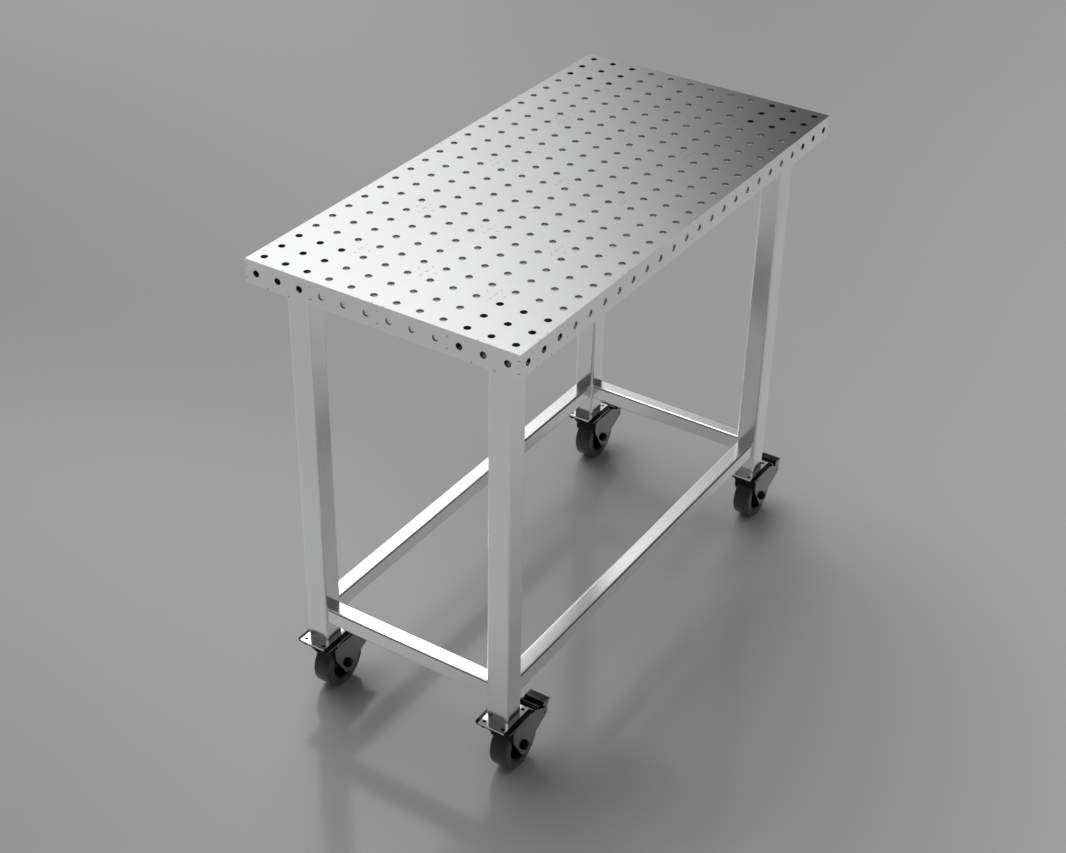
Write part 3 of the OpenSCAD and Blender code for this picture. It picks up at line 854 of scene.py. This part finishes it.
@dataclass
class Caster:
    """A braked swivel caster. Its lengths are in metres, and it trails towards +x."""

    corner: str
    leg: tuple[float, float]
    floor_z: float = -1066.8 * MM
    axle: tuple[float, float] = (36.2 * MM, 58.75 * MM)
    pivot: tuple[float, float] = (111.81 * MM, 91.2 * MM)
    fork_half: float = 28.0 * MM
    nut_across: float = 18.0 * MM
    nut_height: float = 6.0 * MM
    washer_radius: float = 11.5 * MM
    washer_sheet: float = 1.4 * MM
    axle_radius: float = 5.8 * MM
    axle_end: float = 1.6 * MM
    pin_radius: float = 3.0 * MM
    pad_start: tuple[float, float] = (4.6 * MM, 20.5 * MM)
    pad_end: tuple[float, float] = (26.4 * MM, 17.5 * MM)
    sheet: float = 2.5 * MM
    rib_places: tuple[float, ...] = (0.25, 0.42, 0.59, 0.76)
    rib_size: tuple[float, float, float] = (1.2 * MM, 39.95 * MM, 0.7 * MM)
    rib_rounding: float = 0.3 * MM
    # The plating and the glossy black are lit and shaded copies of the casters' one dark finish; where the
    # glossy black replaces the plating it is painted shade.
    plating: Finish = Plating("black_plating", (0.18, 0.18, 0.183), (0.16, 0.16, 0.16), 0.15, 0.000002)
    gloss: Finish = Gloss("black_gloss")
    rubber: Finish = Polymer("tyre_rubber", (0.024, 0.024, 0.025), (0.05, 0.05, 0.05))
    rubber_side: Finish = Polymer("tyre_side", (0.055, 0.055, 0.056), (0.08, 0.08, 0.08), 0.3)
    hub_black: Finish = Polymer("hub_plastic", (0.006, 0.006, 0.006), (0.015, 0.015, 0.015), 0.22)

    @property
    def swivel(self) -> str:
        """The body that swivels."""
        return f"caster_{self.corner}"

    def point(self, x: float, y: float, z: float) -> Vector:
        """A point from the leg's middle on the floor, in the table's frame."""
        return Vector((self.leg[0] + x, self.leg[1] + y, self.floor_z + z))

    def build(self) -> None:
        """Makes the caster's own pieces."""
        self.make_plate()
        self.make_fork()
        self.make_pins()
        self.make_pedal()
        self.make_wheel()

    def rounded(
        self, node: str, body: str, width: float, lit_plated: Callable[[bmesh.types.BMFace], bool]
    ) -> None:
        """Replaces a CAD node by a copy with rounded edges, plated on the chosen faces and glossy black on the
        rest: lit and shaded copies of one finish, the glossy black being painted shade.

        Args:
            node: The node's name.
            body: The body that it rides on.
            width: Width of the rounding.
            lit_plated: Says whether a face is plated, the lit copy of the finish.
        """
        # The chosen faces get the plating and the rest the glossy black, which is painted shade.
        shape = Shape.copied(node).softened(width, 3).coated(1, lit_plated)
        piece = shape.piece(f"{node}_rounded", body, self.gloss, weighted=True, others=[self.plating])
        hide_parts(node)

    def make_plate(self) -> None:
        """Makes the top plate, plated on its long ±y faces and glossy black elsewhere as painted shade."""
        node = f"caster_plate_{self.corner}"
        self.rounded(node, "table", 0.5 * MM, lambda face: abs(face.normal.y) > 0.9)

    def make_fork(self) -> None:
        """Makes the fork, plated on its flat sides and glossy black elsewhere, its front wall and bends as
        painted shade.
        """
        self.rounded(f"fork_{self.corner}", self.swivel, 0.7 * MM, lambda face: abs(face.normal.y) > 0.998)

    def make_pedal(self) -> None:
        """Makes the brake pedal and the grip ribs across its tread."""
        node, body = f"pedal_{self.corner}", f"brake_{self.corner}"
        # Faces turned towards ±x are glossy black as painted shade; the rest are plated.
        self.rounded(node, body, 1.0 * MM, lambda face: abs(face.normal.x) < 0.75)
        start, end = Vector(self.pad_start), Vector(self.pad_end)
        along = end - start
        out = Vector((-along.y, along.x)).normalized() * (self.sheet / 2)
        shape = Shape()
        for share in self.rib_places:
            place = start + along * share + out
            middle = self.point(self.pivot[0] + place.x, 0, self.pivot[1] + place.y)
            shape.block(self.rib_size, middle, self.rib_rounding)
        ribs = shape.piece(f"pedal_ribs_{self.corner}", body, self.gloss, weighted=True)

    def make_pins(self) -> None:
        """Makes the axle bolt with its nut and washer, and the pedal's pivot pin."""
        x, z = self.axle
        corner_radius = self.nut_across / math.sqrt(3)
        nut_y = -self.fork_half - self.washer_sheet
        tip_y = nut_y - self.nut_height - self.axle_end
        head_y = self.fork_half + self.nut_height
        shape = Shape()
        shape.turned(self.washer_outline(), self.point(x, -self.fork_half, z), Axis.Y, closed=True)
        shape.nut(corner_radius, self.nut_height, self.point(x, nut_y, z), -1)
        shape.nut(corner_radius, self.nut_height, self.point(x, self.fork_half, z), 1)
        shape.turned(self.bolt_outline(tip_y, head_y - self.nut_height / 2), self.point(x, 0, z), Axis.Y)
        half, radius = self.fork_half, self.pin_radius
        chamfer = 0.5 * MM
        pin = [(0, -half), (radius - chamfer, -half), (radius, -half + chamfer)]
        pin += [(r, -y) for r, y in reversed(pin)]
        shape.turned(pin, self.point(self.pivot[0], 0, self.pivot[1]), Axis.Y, 32)
        piece = shape.piece(f"axle_hardware_{self.corner}", self.swivel, self.gloss, smooth=35)
        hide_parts(f"fork_pins_{self.corner}")

    def washer_outline(self) -> list[tuple[float, float]]:
        """The washer's section, from the fork's side outwards."""
        bore, rim, sheet, edge = self.axle_radius, self.washer_radius, self.washer_sheet, 0.3 * MM
        return [(bore, 0), (rim, 0), (rim, -sheet + edge), (rim - edge, -sheet), (bore, -sheet)]

    def bolt_outline(self, start: float, end: float) -> list[tuple[float, float]]:
        """The axle bolt's outline, with threads where it stands in the nut.

        Args:
            start: Place of its tip along y.
            end: Place of its other end.

        Returns:
            Pairs of a radius and a place.
        """
        radius, pitch, depth = self.axle_radius, 1.25 * MM, 0.6 * MM
        outline = [(0.0, start), (radius - 2 * depth, start)]
        place = start + depth
        while place < start + 6 * pitch:
            outline += [(radius, place), (radius - depth, place + pitch / 2)]
            place += pitch
        return outline + [(radius, place), (radius, end), (0.0, end)]

    def make_wheel(self) -> None:
        """Makes the tyre with paler sides."""
        wheel = f"wheel_{self.corner}"
        node = f"tyre_{self.corner}"
        shape = Shape.copied(node).coated(1, lambda face: abs(face.normal.y) > 0.8)
        tyre = shape.piece(f"{node}_sides", wheel, self.rubber, smooth=30, others=[self.rubber_side])
        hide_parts(node)


def dress(finish: Finish, names: Iterable[str]) -> None:
    """Gives CAD nodes a finish.

    Args:
        finish: The finish.
        names: The nodes' names.
    """
    for name in names:
        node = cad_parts[name]
        for slot in node.material_slots:
            slot.material = finish.material()
        if not node.material_slots:
            node.data.materials.append(finish.material())
        log.info("%s: %s", name, finish.name)


def named(start: str) -> list[str]:
    """The CAD nodes whose names begin with the given word."""
    return sorted(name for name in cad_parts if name.startswith(start))


def main() -> None:
    """Builds the studio and dresses the table."""
    logging.basicConfig(level=logging.INFO, format="%(message)s")
    Studio().build()
    dress(Steel("ground_steel"), ["top_plate", *named("skirt"), *named("cross_rib"), *named("long_rib")])
    dress(Steel("ground_steel"), named("corner_plate"))
    dress(Steel("tube_steel", roughness=0.18, relief=0.000001), [*named("leg"), *named("rail")])
    dress(Steel("foot_steel", roughness=0.13, relief=0.000001), named("foot_plate"))
    dress(Plating("zinc"), [*named("kingpins"), *named("sleeve")])
    dress(Plating("ball_steel", tint=(0.6, 0.6, 0.6), roughness=0.15), ["swivel_balls"])
    dress(Caster.gloss, named("caster_bolts"))
    dress(Caster.plating, [*named("fork_pins"), *named("pedal")])
    dress(Caster.plating, [*named("caster_plate"), *named("fork_front"), *named("fork_back")])
    dress(Caster.hub_black, named("hub"))
    dress(Caster.rubber, named("tyre"))
    TopBox().build()
    for end, x in (("left", -1), ("right", 1)):
        for side, y in (("front", -1), ("back", 1)):
            Caster(f"{side}_{end}", (x * LEG_PLACE[0], y * LEG_PLACE[1])).build()


if __name__ == "__main__":
    main()
